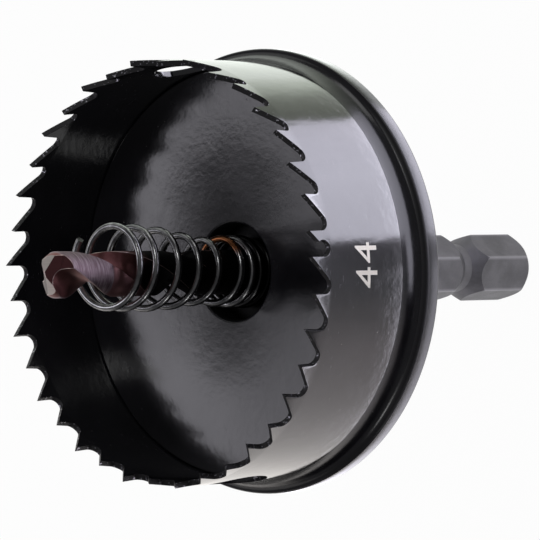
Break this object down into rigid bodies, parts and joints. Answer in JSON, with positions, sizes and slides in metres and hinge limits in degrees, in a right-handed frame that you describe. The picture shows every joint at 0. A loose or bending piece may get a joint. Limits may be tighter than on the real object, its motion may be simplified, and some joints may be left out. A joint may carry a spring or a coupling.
{
  "type": "hole saw",
  "caption": "Shallow hole saw with a toothed steel band on a flanged back plate, pilot drill, ejecting spring and hex shank.",
  "frame": {"origin": "centre of the shank's end face", "axes": "+Z along the tool's axis, from the shank's end towards the teeth and the drill's tip; +X and +Y across it"},
  "size_m": [0.0466, 0.0466, 0.0714],
  "materials": {
    "black_paint": "gloss",
    "plate_paint": "satin",
    "blackened_steel": "satin",
    "drill_steel": "satin",
    "spring_steel": "satin"
  },
  "bodies": {
    "root": {"saw_band": "black_paint", "back_plate": "plate_paint", "arbor": "blackened_steel", "pilot_drill": "drill_steel", "eject_spring": "spring_steel"}
  },
  "joints": []
}
